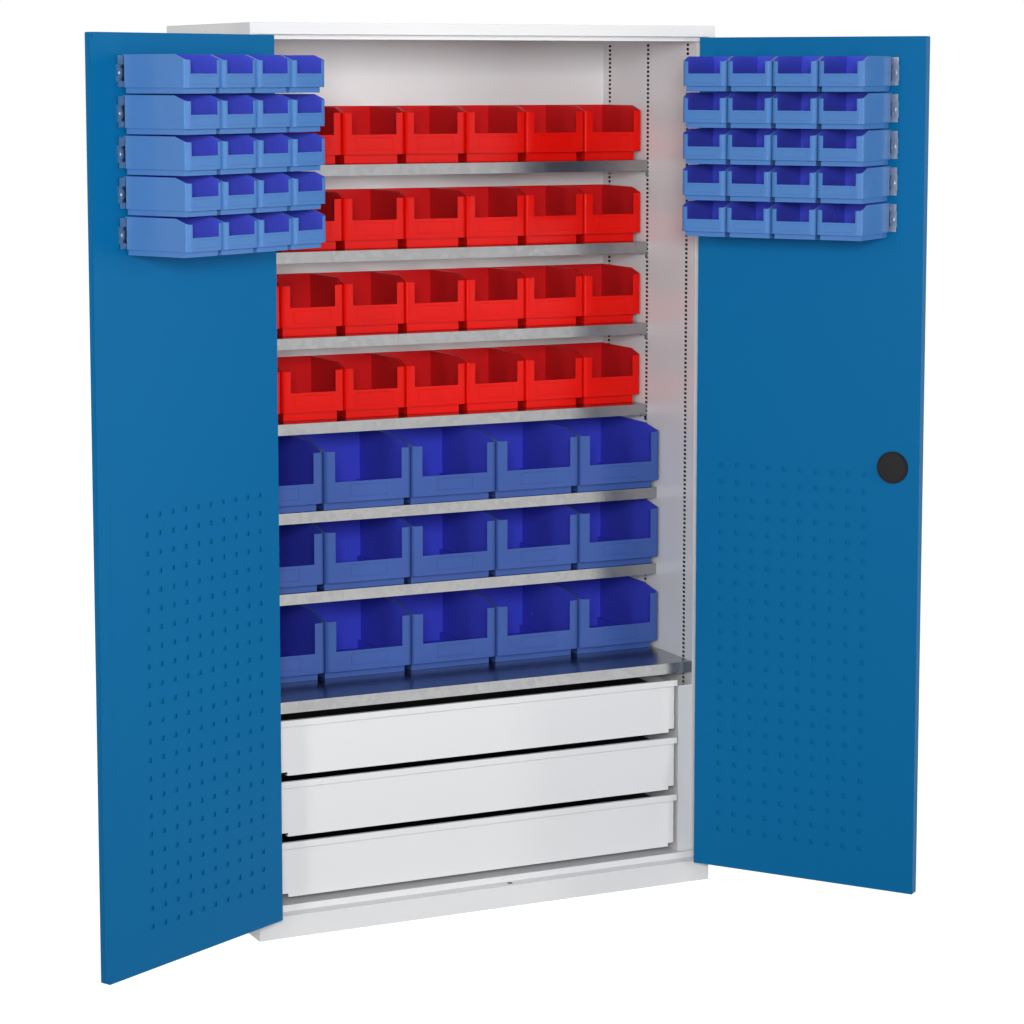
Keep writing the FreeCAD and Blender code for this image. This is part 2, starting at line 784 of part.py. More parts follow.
def lock_handle():
    """The turning handle: a grip across a hub, with the square spindle that drives the pinion."""
    x = door_x(right, lock_along)
    hub_back = -plate_height - handle_gap
    grip_back = hub_back - handle_hub_height
    grip_front = grip_back - handle_grip_height
    half_width = handle_grip_width / 2
    half_length = handle_grip_length / 2 - half_width
    pieces = [
        rod_y(x, grip_back, hub_back, lock_z, handle_hub_radius),
        block(x - half_length, x + half_length, grip_front, grip_back, lock_z - half_width, lock_z + half_width),
        rod_y(x - half_length, grip_front, grip_back, lock_z, half_width),
        rod_y(x + half_length, grip_front, grip_back, lock_z, half_width),
        spindle_bar(x, hub_back, rod_setback + pinion_depth / 2, spindle_side),
    ]
    bore = rod_y(x, grip_front - sheet, grip_front + cylinder_depth + cylinder_gap, lock_z,
                 cylinder_radius + cylinder_gap)
    return joined(pieces).cut(bore)


def lock_cylinder():
    """The key cylinder in the middle of the handle, with its key slot."""
    x = door_x(right, lock_along)
    face = -plate_height - handle_gap - handle_hub_height - handle_grip_height
    barrel = rod_y(x, face, face + cylinder_depth, lock_z, cylinder_radius)
    slot = block(x - key_slot_width / 2, x + key_slot_width / 2, face - sheet, face + key_slot_depth,
                 lock_z - key_slot_height / 2, lock_z + key_slot_height / 2)
    return barrel.cut(slot)


# The whole cabinet

def case_nodes():
    """The pieces that stay still."""
    nodes = {
        "side_panel_left": [side_panel(left)],
        "side_panel_right": [side_panel(right)],
        "side_liner_left": [side_liner(left)],
        "side_liner_right": [side_liner(right)],
        "back_panel": [back_panel()],
        "roof_panel": [roof_panel()],
        "base_frame": [base_frame()],
        "floor_panel": [floor_panel()],
        "shelf_clips": shelf_clips(),
        "drawer_bay_sides": [bay_side(side) for side in (left, right)],
        "drawer_fixed_runners": [fixed_runner(side, number) for number in range(drawer_count)
                                 for side in (left, right)],
        "hinge_frame_halves": [hinge_frame_half(side, middle) for side in (left, right)
                               for middle in hinge_middles()],
    }
    for number in range(len(shelf_slots)):
        nodes[f"shelf_{number + 1}"] = [shelf(number)]
        colour = "red" if number < red_shelf_count else "blue"
        nodes[f"{colour}_bins_shelf_{number + 1}"] = bin_row(number)
    return nodes


def drawer_nodes():
    """The three drawers with their moving runner members."""
    nodes = {}
    for number in range(drawer_count):
        name = f"drawer_{number + 1}"
        nodes[f"{name}_front"] = [drawer_front(number)]
        nodes[f"{name}_tray"] = [drawer_tray(number)]
        nodes[f"{name}_runners"] = [moving_runner(side, number) for side in (left, right)]
    return nodes


def door_nodes(side):
    """One door with its rails, bins and hinge halves, as it stands open."""
    name = "door_left" if side == left else "door_right"
    nodes = {
        f"{name}_outer": [door_outer(side)],
        f"{name}_liner": [door_liner(side)],
        f"{name}_hinge_halves": [hinge_door_half(side, middle) for middle in hinge_middles()],
        f"{name}_rails": [door_rail(side, number) for number in range(rails_per_door)],
        f"{name}_rail_screws": rail_screws(side),
        f"{name}_bins_upper": door_bins(side, (0, 1)),
        f"{name}_bins_middle": door_bins(side, (2, 3)),
        f"{name}_bins_lower": door_bins(side, (4,)),
    }
    if side == left:
        nodes["door_left_overlap_strip"] = [overlap_strip()]
    else:
        nodes.update(lock_nodes())
    return {node: [opened(side, shape) for shape in shapes] for node, shapes in nodes.items()}


def lock_nodes():
    """The pieces of the lock, on the shut right door."""
    return {
        "lock_handle_plate": [handle_plate()],
        "lock_handle": [lock_handle()],
        "lock_cylinder": [lock_cylinder()],
        "lock_pinion": [lock_pinion()],
        "lock_case": [lock_case()],
        "lock_cover": [lock_cover()],
        "lock_rod_upper": [lock_rod(upper=True)],
        "lock_rod_lower": [lock_rod(upper=False)],
    }


def main():
    """Build every piece and write one file for each node."""
    os.makedirs("parts", exist_ok=True)
    nodes = {**case_nodes(), **drawer_nodes(), **door_nodes(left), **door_nodes(right)}
    for name, shapes in nodes.items():
        for shape in shapes:
            shape.translate(Vector(0, -case_depth / 2, 0))
        group = shapes[0] if len(shapes) == 1 else Part.makeCompound(shapes)
        group.exportStep(f"parts/{name}.step")


main()
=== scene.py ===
"""Looks of the tool cabinet: sheet metal, bins, doors, lock and the studio round it.

Lengths are in metres, in the cabinet's own frame: X to the right, Y to the back and Z up.
"""
import json
import math

import bmesh
import bpy
from bpy.props import FloatProperty, FloatVectorProperty, IntProperty, PointerProperty
from mathutils import Matrix, Vector


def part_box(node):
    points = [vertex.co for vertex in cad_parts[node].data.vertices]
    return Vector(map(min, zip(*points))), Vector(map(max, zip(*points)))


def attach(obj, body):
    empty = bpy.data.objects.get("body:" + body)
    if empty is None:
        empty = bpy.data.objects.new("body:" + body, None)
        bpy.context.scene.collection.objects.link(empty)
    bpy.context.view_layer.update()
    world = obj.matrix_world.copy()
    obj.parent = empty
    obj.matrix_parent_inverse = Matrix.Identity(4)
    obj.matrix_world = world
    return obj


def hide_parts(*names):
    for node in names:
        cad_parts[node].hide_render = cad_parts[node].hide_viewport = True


bl_info = {
    "name": "Tool Cabinet",
    "version": (1, 0, 0),
    "blender": (4, 5, 0),
    "location": "View3D > Sidebar > Tool Cabinet",
    "description": "Dresses a tool cabinet with its finishes, bins, doors, lock and studio",
    "category": "Object",
}

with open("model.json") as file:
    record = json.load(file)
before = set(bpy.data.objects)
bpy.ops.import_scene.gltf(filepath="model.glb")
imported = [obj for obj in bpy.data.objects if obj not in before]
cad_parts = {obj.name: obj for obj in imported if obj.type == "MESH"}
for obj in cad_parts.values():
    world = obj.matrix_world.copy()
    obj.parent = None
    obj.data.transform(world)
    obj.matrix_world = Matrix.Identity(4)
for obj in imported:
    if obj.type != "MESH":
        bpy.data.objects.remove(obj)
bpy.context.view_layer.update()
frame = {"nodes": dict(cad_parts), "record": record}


# Settings

def length(name, description, default):
    """A size in metres."""
    return FloatProperty(name=name, description=description, default=default, min=0.0, unit="LENGTH",
                         precision=4)


def power(name, description, default):
    """A lamp's power in watts."""
    return FloatProperty(name=name, description=description, default=default, unit="POWER")


def colour(name, description, default):
    """A finish's colour."""
    return FloatVectorProperty(name=name, description=description, default=default, size=3, subtype="COLOR",
                               min=0.0, max=1.0)


def angle(name, description, default):
    """A turn in radians, shown in degrees."""
    return FloatProperty(name=name, description=description, default=math.radians(default), subtype="ANGLE")


class RedBinSettings(bpy.types.PropertyGroup):
    """Sizes of the bins on the upper shelves."""
    width: length("Width", "Outside width", 0.1485)
    length: length("Length", "Outside length", 0.2)
    height: length("Height", "Outside height with the foot", 0.126)
    foot_height: length("Foot height", "Height of the foot", 0.02)
    foot_setback: length("Foot setback", "Foot behind the front", 0.02)
    foot_inset: length("Foot inset", "Foot inside the side walls", 0.01)
    wall: length("Wall", "Wall thickness", 0.0025)
    front_height: length("Front height", "Height of the front below the window", 0.065)
    pillar: length("Pillar", "Width of the pillars beside the window", 0.021)
    shoulder_length: length("Shoulder length", "Length of the fall of the side walls", 0.045)
    shoulder_drop: length("Shoulder drop", "Height of the fall of the side walls", 0.013)
    corner: length("Corner radius", "Radius of the upright front corners", 0.008)
    label: length("Label", "Width of the label field", 0.09)
    pitch: length("Pitch", "Distance between neighbours", 0.15)
    count: IntProperty(name="Count", description="Bins in a row", default=7, min=1)


class BlueBinSettings(bpy.types.PropertyGroup):
    """Sizes of the bins on the lower shelves."""
    width: length("Width", "Outside width", 0.2085)
    length: length("Length", "Outside length", 0.3)
    height: length("Height", "Outside height with the foot", 0.147)
    foot_height: length("Foot height", "Height of the foot", 0.02)
    foot_setback: length("Foot setback", "Foot behind the front", 0.028)
    foot_inset: length("Foot inset", "Foot inside the side walls", 0.008)
    wall: length("Wall", "Wall thickness", 0.003)
    front_height: length("Front height", "Height of the front below the window", 0.065)
    pillar: length("Pillar", "Width of the pillars beside the window", 0.0245)
    shoulder_length: length("Shoulder length", "Length of the fall of the side walls", 0.075)
    shoulder_drop: length("Shoulder drop", "Height of the fall of the side walls", 0.014)
    corner: length("Corner radius", "Radius of the upright front corners", 0.012)
    label: length("Label", "Width of the label field", 0.09)
    pitch: length("Pitch", "Distance between neighbours", 0.21)
    count: IntProperty(name="Count", description="Bins in a row", default=5, min=1)


class DoorBinSettings(bpy.types.PropertyGroup):
    """Sizes of the bins on the doors."""
    width: length("Width", "Outside width", 0.1035)
    length: length("Length", "Outside length", 0.16)
    height: length("Height", "Outside height with the foot", 0.075)
    foot_height: length("Foot height", "Height of the foot", 0.011)
    foot_setback: length("Foot setback", "Foot behind the front", 0.012)
    foot_inset: length("Foot inset", "Foot inside the side walls", 0.005)
    wall: length("Wall", "Wall thickness", 0.002)
    front_height: length("Front height", "Height of the front below the window", 0.038)
    pillar: length("Pillar", "Width of the pillars beside the window", 0.014)
    shoulder_length: length("Shoulder length", "Length of the fall of the side walls", 0.03)
    shoulder_drop: length("Shoulder drop", "Height of the fall of the side walls", 0.011)
    corner: length("Corner radius", "Radius of the upright front corners", 0.008)
    label: length("Label", "Width of the label field", 0.065)
    pitch: length("Pitch", "Distance between neighbours", 0.105)
    count: IntProperty(name="Count", description="Bins on a rail", default=4, min=1)
    start: length("Start", "From the hinge edge to the first bin's space", 0.035)
    hook_gauge: length("Hook gauge", "Thickness of the hook", 0.002)
    hook_drop: length("Hook drop", "Height of the hook", 0.01)
    hook_gap: length("Hook gap", "Play between the hook and the rail", 0.0003)


class CaseSettings(bpy.types.PropertyGroup):
    """Sizes of the case that the other pieces follow."""
    width: length("Width", "Case width", 1.1)
    depth: length("Depth", "Case depth", 0.535)
    back: length("Back", "Front of the back panel behind the front plane", 0.497)
    liner: length("Liner", "Slotted side walls from the middle", 0.527)
    bin_gap: length("Bin gap", "Between a shelf bin and the back panel", 0.001)
    sheet: length("Sheet", "Sheet thickness", 0.001)
    edge: length("Edge", "Rounding of the sheet edges", 0.0004)


class DoorSettings(bpy.types.PropertyGroup):
    """Sizes of the doors."""
    width: length("Width", "Door width", 0.53)
    height: length("Height", "Door height", 1.874)
    depth: length("Depth", "Door depth", 0.025)
    gap: length("Gap", "Between the shut doors", 0.003)
    bottom: length("Bottom", "Height of the lower edge", 0.05)
    sheet: length("Sheet", "Sheet thickness", 0.001)
    flange: length("Flange", "Fold behind the inner sheet", 0.015)
    backing: length("Backing", "Stiffener behind the tool holes", 0.002)
    bend: length("Bend", "Radius of the folded edges", 0.0025)
    rim: length("Rim", "Rounding of the inner sheet's edges", 0.0007)
    pin_inset: length("Pin inset", "Hinge pin from the hinge edge", 0.0045)
    pin_forward: length("Pin forward", "Hinge pin before the outer face", 0.006)
    left_angle: angle("Left door", "How far the left door stands open", 151.1)
    right_angle: angle("Right door", "How far the right door stands open", 125.7)
    hole: length("Hole", "Side of the square tool holes", 0.01)
    hole_pitch: length("Hole pitch", "Distance between the tool holes", 0.038)
    columns: IntProperty(name="Columns", description="Columns of tool holes", default=10, min=1)
    rows: IntProperty(name="Rows", description="Rows of tool holes", default=23, min=1)
    hole_side_margin: length("Hole side margin", "Hinge edge to the first column", 0.062)
    hole_bottom_margin: length("Hole bottom margin", "Lower edge to the lowest row", 0.088)
    rails: IntProperty(name="Rails", description="Rails on each door", default=5, min=1)
    rail_margin: length("Rail margin", "Upper edge to the top of the upper rail", 0.0445)
    rail_pitch: length("Rail pitch", "Distance between the rails", 0.07825)
    rail_reach: length("Rail reach", "How far the rails stand off", 0.005)
    rail_height: length("Rail height", "Height of the rails", 0.06)
    rail_gauge: length("Rail gauge", "Sheet thickness of the rails", 0.0012)
    rail_start: length("Rail start", "Hinge edge to the rails", 0.02)
    rail_length: length("Rail length", "Length of the rails", 0.45)
    screw_inset: length("Screw inset", "A rail's end to its screw", 0.0075)
    screw_height: length("Screw height", "A rail's lower edge to its screws", 0.027)
    screw_seat: length("Screw seat", "How far the screws' seats stand off the inner sheet", 0.003)


class LockSettings(bpy.types.PropertyGroup):
    """Sizes of the lock on the right door."""
    along: length("Along", "Hinge edge to the lock's axis", 0.4693)
    height: length("Height", "Height of the lock's axis", 0.995)
    cover_radius: length("Cover radius", "Radius of the inner cover", 0.035)
    cover_height: length("Cover height", "Height of the inner cover", 0.007)
    plate_radius: length("Plate radius", "Radius of the plate under the handle", 0.032)
    plate_height: length("Plate height", "Height of the plate under the handle", 0.006)
    spindle: length("Spindle", "Side of the square spindle", 0.008)
    rod_offset: length("Rod offset", "Lower rod's axis beside the lock's axis", 0.01064)
    rod_setback: length("Rod setback", "Rods' axes behind the front plane", 0.018)
    rod_hole: length("Rod hole", "Radius of the hole for a rod", 0.006)
    grip_edge: length("Grip edge", "Rounding of the handle", 0.0012)
    barrel_edge: length("Barrel edge", "Rounding of the key cylinder", 0.0003)


class FinishSettings(bpy.types.PropertyGroup):
    """Colours of the finishes."""
    grey: colour("Grey paint", "Powder coat of the case", (0.72, 0.72, 0.725))
    blue: colour("Blue paint", "Powder coat of the doors", (0.002, 0.131, 0.32))
    red_plastic: colour("Red plastic", "Bins on the upper shelves", (0.72, 0.006, 0.003))
    blue_plastic: colour("Blue plastic", "Bins on the lower shelves", (0.045, 0.098, 0.33))
    light_plastic: colour("Light blue plastic", "Bins on the doors", (0.072, 0.2, 0.48))
    # Painted shade and bounced light: deeper, more saturated copies of the plastics for the insides and
    # undersides of the bins.
    red_inside: colour("Red painted shade", "Painted Shade of the upper shelves' bins", (0.62, 0.014, 0.016))
    blue_inside: colour("Blue painted shade", "Painted Shade of the lower shelves' bins", (0.05, 0.065, 0.6))
    light_inside: colour("Light blue painted shade", "Painted Shade of the doors' bins", (0.06, 0.08, 0.6))
    zinc: colour("Zinc", "Galvanised sheet", (0.41, 0.41, 0.415))
    rail: colour("Rail", "Plated rails on the doors", (0.62, 0.61, 0.59))
    bright: colour("Bright steel", "Plated small pieces", (0.62, 0.62, 0.63))
    black: colour("Black", "Moulded lock pieces", (0.014, 0.014, 0.014))
    # Painted shade: a near black that stands for the shade behind the side walls' slots, in the rod's hole
    # and inside the drawers' trays.
    cavity_shade: colour("Cavity shade", "Painted shade behind the slots, in the rod's hole and inside the trays", (0.03, 0.03, 0.032))


class StudioSettings(bpy.types.PropertyGroup):
    """The camera, lamps and floor."""
    lens: FloatProperty(name="Lens", description="Focal length", default=98.888, subtype="DISTANCE_CAMERA")
    sensor: FloatProperty(name="Sensor", description="Width of the camera's sensor", default=36.0,
                          subtype="DISTANCE_CAMERA")
    shift: FloatProperty(name="Shift", description="Vertical shift of the frame", default=-0.1094)
    place: FloatVectorProperty(name="Camera", description="Place of the camera", size=3,
                               subtype="TRANSLATION", default=(-2.57964, -5.773784, 1.845322))
    tilt: angle("Tilt", "How far the camera looks down", 6.625)
    turn: angle("Turn", "How far the camera looks to the right", 25.513)
    floor: length("Floor", "Side of the floor", 60.0)
    key: power("Key lamp", "Power of the lamp beside the camera", 98.0)
    left: power("Left lamp", "Power of the lamp on the left", 25.0)
    right: power("Right lamp", "Power of the lamp on the right", 35.0)
    strip: power("Strip lamp", "Power of the narrow lamp far right", 17.0)
    back: power("Back lamps", "Power of each lamp behind", 24.0)
    sky: FloatProperty(name="Sky", description="Strength of the even light", default=0.16, min=0.0)


class CabinetSettings(bpy.types.PropertyGroup):
    """Everything that can be set on the cabinet."""
    red_bin: PointerProperty(type=RedBinSettings)
    blue_bin: PointerProperty(type=BlueBinSettings)
    door_bin: PointerProperty(type=DoorBinSettings)
    case: PointerProperty(type=CaseSettings)
    door: PointerProperty(type=DoorSettings)
    lock: PointerProperty(type=LockSettings)
    finish: PointerProperty(type=FinishSettings)
    studio: PointerProperty(type=StudioSettings)


# Finishes

def fill(made, **values):
    """Sets a node's input values by name."""
    for name, value in values.items():
        made.inputs[name.replace("_", " ")].default_value = value
    return made


def node(tree, kind, **values):
    """A new node with its input values set by name."""
    return fill(tree.nodes.new(kind), **values)


def maths(tree, operation, *values):
    """The outcome of a sum whose values are numbers or other nodes' outputs."""
    made = node(tree, "ShaderNodeMath")
    made.operation = operation
    for socket, value in zip(made.inputs, values):
        if isinstance(value, float):
            socket.default_value = value
        else:
            tree.links.new(value, socket)
    return made.outputs["Value"]


def finish_group(name, **numbers):
    """A node group from a colour and numbers to a colour, a roughness and a height, and its ends."""
    tree = bpy.data.node_groups.new(name, "ShaderNodeTree")
    tree.interface.new_socket("Color", in_out="INPUT", socket_type="NodeSocketColor")
    for label, value in numbers.items():
        socket = tree.interface.new_socket(label.replace("_", " "), in_out="INPUT",
                                           socket_type="NodeSocketFloat")
        socket.default_value = value
    tree.interface.new_socket("Color", in_out="OUTPUT", socket_type="NodeSocketColor")
    for label in ("Roughness", "Height"):
        tree.interface.new_socket(label, in_out="OUTPUT", socket_type="NodeSocketFloat")
    return tree, node(tree, "NodeGroupInput"), node(tree, "NodeGroupOutput")


def finish_ends(tree, start, end, tone, unevenness, amount, relief):
    """Scales the group's colour by the tone, adds the unevenness to its gloss and passes the relief on."""
    shade = node(tree, "ShaderNodeVectorMath")
    shade.operation = "SCALE"
    tree.links.new(start.outputs["Color"], shade.inputs[0])
    tree.links.new(tone.outputs["Result"], shade.inputs["Scale"])
    tree.links.new(shade.outputs["Vector"], end.inputs["Color"])
    rough = maths(tree, "MULTIPLY_ADD", unevenness, amount, start.outputs["Gloss"])
    tree.links.new(rough, end.inputs["Roughness"])
    tree.links.new(relief, end.inputs["Height"])


def skin_group(name, fine, broad, tones, amount):
    """A painted or moulded skin: a fine relief, and broad changes in tone and gloss."""
    tree, start, end = finish_group(name, Gloss=0.4)
    place = node(tree, "ShaderNodeTexCoord")
    relief, cloud = node(tree, "ShaderNodeTexNoise", **fine), node(tree, "ShaderNodeTexNoise", **broad)
    for texture in (relief, cloud):
        tree.links.new(place.outputs["Object"], texture.inputs["Vector"])
    tone = node(tree, "ShaderNodeMapRange", To_Min=tones[0], To_Max=tones[1])
    tree.links.new(cloud.outputs["Fac"], tone.inputs["Value"])
    finish_ends(tree, start, end, tone, cloud.outputs["Fac"], amount, relief.outputs["Fac"])
    return tree


def coat_group():
    """Powder coat: a fine orange peel, a faint cloudiness and a little change in gloss."""
    return skin_group("Powder Coat", fine={"Scale": 420.0, "Detail": 2.0, "Roughness": 0.5},
                      broad={"Scale": 2.2, "Detail": 2.0, "Roughness": 0.5},
                      tones=(0.985, 1.015), amount=0.06)


def moulding_group():
    """Moulded plastic: a fine eroded skin, soft flow marks and a little change in gloss."""
    return skin_group("Moulded Plastic", fine={"Scale": 900.0, "Detail": 3.0, "Roughness": 0.6},
                      broad={"Scale": 14.0, "Detail": 2.0, "Roughness": 0.5, "Distortion": 0.8},
                      tones=(0.93, 1.05), amount=0.1)


def zinc_group():
    """Hot dipped zinc: flat flakes of differing brightness over the fine lines of the rolled sheet."""
    tree, start, end = finish_group("Zinc Flakes", Flake_Scale=70.0, Gloss=0.26)
    place = node(tree, "ShaderNodeTexCoord")
    warp = node(tree, "ShaderNodeTexNoise", Scale=35.0, Detail=2.0)
    bend = node(tree, "ShaderNodeMix")
    bend.data_type = "VECTOR"
    bend.inputs["Factor"].default_value = 0.012
    straight, warped, bent = bend.inputs[4], bend.inputs[5], bend.outputs[1]  # the ends for vectors
    tree.links.new(place.outputs["Object"], warp.inputs["Vector"])
    tree.links.new(place.outputs["Object"], straight)
    tree.links.new(warp.outputs["Color"], warped)
    flakes = node(tree, "ShaderNodeTexVoronoi")
    tree.links.new(bent, flakes.inputs["Vector"])
    tree.links.new(start.outputs["Flake Scale"], flakes.inputs["Scale"])
    flake = node(tree, "ShaderNodeSeparateColor")
    tree.links.new(flakes.outputs["Color"], flake.inputs["Color"])
    rolled = node(tree, "ShaderNodeMapping", Scale=(4.0, 220.0, 220.0))
    rolling = node(tree, "ShaderNodeTexNoise", Scale=1.0, Detail=4.0, Roughness=0.6)
    tree.links.new(place.outputs["Object"], rolled.inputs["Vector"])
    tree.links.new(rolled.outputs["Vector"], rolling.inputs["Vector"])
    tone = node(tree, "ShaderNodeMapRange", From_Max=2.0, To_Min=0.88, To_Max=1.12)
    tree.links.new(maths(tree, "ADD", flake.outputs["Red"], rolling.outputs["Fac"]), tone.inputs["Value"])
    finish_ends(tree, start, end, tone, flake.outputs["Green"], 0.03, rolling.outputs["Fac"])
    return tree


def finish(name, group, tint, gloss, relief, metallic=0.0, specular=0.5, **extra):
    """A material whose colour, gloss and fine relief come from one of the groups."""
    material = bpy.data.materials.new(name)
    material.use_nodes = True
    tree = material.node_tree
    shader = fill(tree.nodes["Principled BSDF"], Metallic=metallic, Specular_IOR_Level=specular)
    surface = node(tree, "ShaderNodeGroup")
    surface.node_tree = group
    fill(surface, Color=(*tint, 1.0), Gloss=gloss, **extra)
    bump = node(tree, "ShaderNodeBump", Strength=0.35, Distance=relief)
    tree.links.new(surface.outputs["Color"], shader.inputs["Base Color"])
    tree.links.new(surface.outputs["Roughness"], shader.inputs["Roughness"])
    tree.links.new(surface.outputs["Height"], bump.inputs["Height"])
    tree.links.new(bump.outputs["Normal"], shader.inputs["Normal"])
    return material


def make_finishes(tints):
    """Every finish of the cabinet, by the name of its slot."""
    coat, moulding, zinc = coat_group(), moulding_group(), zinc_group()
    made = {
        "grey_paint": finish("Grey Powder Coat", coat, tints.grey, gloss=0.2, relief=0.00008),
        # Painted shade behind the slots, in the rod's hole and inside the trays.
        "cavity_shade": finish("Dark Sheet", coat, tints.cavity_shade, gloss=0.6, relief=0.00008, specular=0.1),
        "blue_paint": finish("Blue Powder Coat", coat, tints.blue, gloss=0.4, relief=0.00012, specular=0.1),
        "black_plastic": finish("Black Plastic", moulding, tints.black, gloss=0.3, relief=0.00005,
                                specular=0.15),
    }
    # Each plastic also gets a second, shaded copy from its inside colour, which paints the shade and bounced
    # light inside the bins and under them.
    for slot, name, outside, inside, specular in (
            ("red_plastic", "Red", tints.red_plastic, tints.red_inside, 0.15),
            ("blue_plastic", "Blue", tints.blue_plastic, tints.blue_inside, 0.2),
            ("light_blue_plastic", "Light Blue", tints.light_plastic, tints.light_inside, 0.2)):
        made[slot] = finish(f"{name} Plastic", moulding, outside, gloss=0.16, relief=0.00003,
                            specular=specular)
        made[slot + "_inside"] = finish(f"{name} Inside", moulding, inside, gloss=0.2, relief=0.00003,
                                        specular=0.15)
    for slot, name, tint, gloss, relief, flakes in (
            ("galvanised_steel", "Galvanised Sheet", tints.zinc, 0.24, 0.000004, 70.0),
            ("rail", "Plated Rail", tints.rail, 0.3, 0.000004, 400.0),
            ("zinc_steel", "Plated Steel", tints.bright, 0.2, 0.00002, 400.0),
            ("chromed_metal", "Chromed Metal", tints.bright, 0.08, 0.00001, 900.0)):
        made[slot] = finish(name, zinc, tint, gloss, relief, metallic=1.0, Flake_Scale=flakes)
    return made


# Meshes

RIGHT, BACK, UP = (1, 0, 0), (0, 1, 0), (0, 0, 1)
FRONT, DOWN = (0, -1, 0), (0, 0, -1)
SAME_WAY = 0.999  # least cosine between the normal of a face and the way it looks
NEARLY = 0.9  # the same for a face that looks about that way
MERGE_DISTANCE, CUT_DISTANCE = 1e-6, 1e-7
FLAT_ANGLE = 1.0  # degrees under which neighbouring faces of the solids become one


def slot_of(cad_node):
    """The material slot that the record gives to a node."""
    return next(entry["material_slot"] for entry in frame["record"]["subparts"] if entry["node"] == cad_node)


def body_of(cad_node):
    """The body that a node moves with."""
    bodies = frame["record"]["behaviour"]["bodies"]
    return next(body for body, members in bodies.items() if cad_node in members)


def add_piece(name, bm, cad_node, sharp=34.0):
    """Makes the mesh an object that stands for the node and moves with its body.

    Edges that turn by more than the sharp angle, in degrees, stay sharp.
    """
    mesh = bpy.data.meshes.new(name)
    bm.to_mesh(mesh)
    bm.free()
    mesh.polygons.foreach_set("use_smooth", [True] * len(mesh.polygons))
    mesh.set_sharp_from_angle(angle=math.radians(sharp))
    piece = bpy.data.objects.new(name, mesh)
    bpy.context.scene.collection.objects.link(piece)
    flats = piece.modifiers.new("Flat faces stay flat", "WEIGHTED_NORMAL")
    flats.keep_sharp = True
    slot = slot_of(cad_node)
    mesh.materials.append(FINISHES[slot])
    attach(piece, body_of(cad_node))
    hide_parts(cad_node)
    return piece


def box(bm, low, high):
    """A box between two corners, added to the mesh."""
    verts = bmesh.ops.create_cube(bm, size=1.0)["verts"]
    low, high = Vector(low), Vector(high)
    bmesh.ops.scale(bm, vec=high - low, verts=verts)
    bmesh.ops.translate(bm, vec=(low + high) / 2, verts=verts)


def facing(bm, direction):
    """The faces that look one way."""
    bm.normal_update()
    direction = Vector(direction)
    return [face for face in bm.faces if face.normal.dot(direction) > SAME_WAY]


def cut(bm, faces, point, normal, clear_outer=False):
    """Cuts the given faces with a plane."""
    geom = set(faces)
    for face in faces:
        geom.update(face.edges)
        geom.update(face.verts)
    bmesh.ops.bisect_plane(bm, geom=list(geom), dist=CUT_DISTANCE, plane_co=point, plane_no=normal,
                           clear_outer=clear_outer)


def cut_across(bm, pick, xs, zs=()):
    """Cuts the faces that pick finds, anew for each cut, at each x and then at each z."""
    for x in xs:
        cut(bm, pick(), (x, 0, 0), RIGHT)
    for z in zs:
        cut(bm, pick(), (0, 0, z), UP)


def round_edges(bm, edges, radius, segments=2):
    """Rounds edges."""
    if edges:
        bmesh.ops.bevel(bm, geom=edges, offset=radius, offset_type="OFFSET", segments=segments, profile=0.5,
                        affect="EDGES", material=-1, clamp_overlap=True)


def outer_edges(bm, least=30.0):
    """The edges where two faces meet at an outer corner of at least some degrees."""
    bm.normal_update()
    return [edge for edge in bm.edges if edge.is_manifold
            and edge.calc_face_angle_signed(0.0) > math.radians(least)]


def softened(cad_node, radius, segments=2):
    """A copy of a node's mesh with its outer edges rounded."""
    bm = bmesh.new()
    bm.from_mesh(frame["nodes"][cad_node].data)
    bmesh.ops.remove_doubles(bm, verts=bm.verts, dist=MERGE_DISTANCE)
    bmesh.ops.dissolve_limit(bm, angle_limit=math.radians(FLAT_ANGLE), verts=bm.verts, edges=bm.edges)
    round_edges(bm, outer_edges(bm), radius, segments)
    return bm


def repeated(bm, matrices):
    """The mesh at each of the places."""
    mesh = bpy.data.meshes.new("pattern")
    bm.to_mesh(mesh)
    bm.free()
    many = bmesh.new()
    for matrix in matrices:
        start = len(many.verts)
        many.from_mesh(mesh)
        many.verts.ensure_lookup_table()
        bmesh.ops.transform(many, matrix=matrix, verts=many.verts[start:])
    bpy.data.meshes.remove(mesh)
    return many


# Bins

# The label field's lower and upper edge, as shares of the front's height over the foot
LABEL_LOW, LABEL_HIGH = 0.22, 0.86


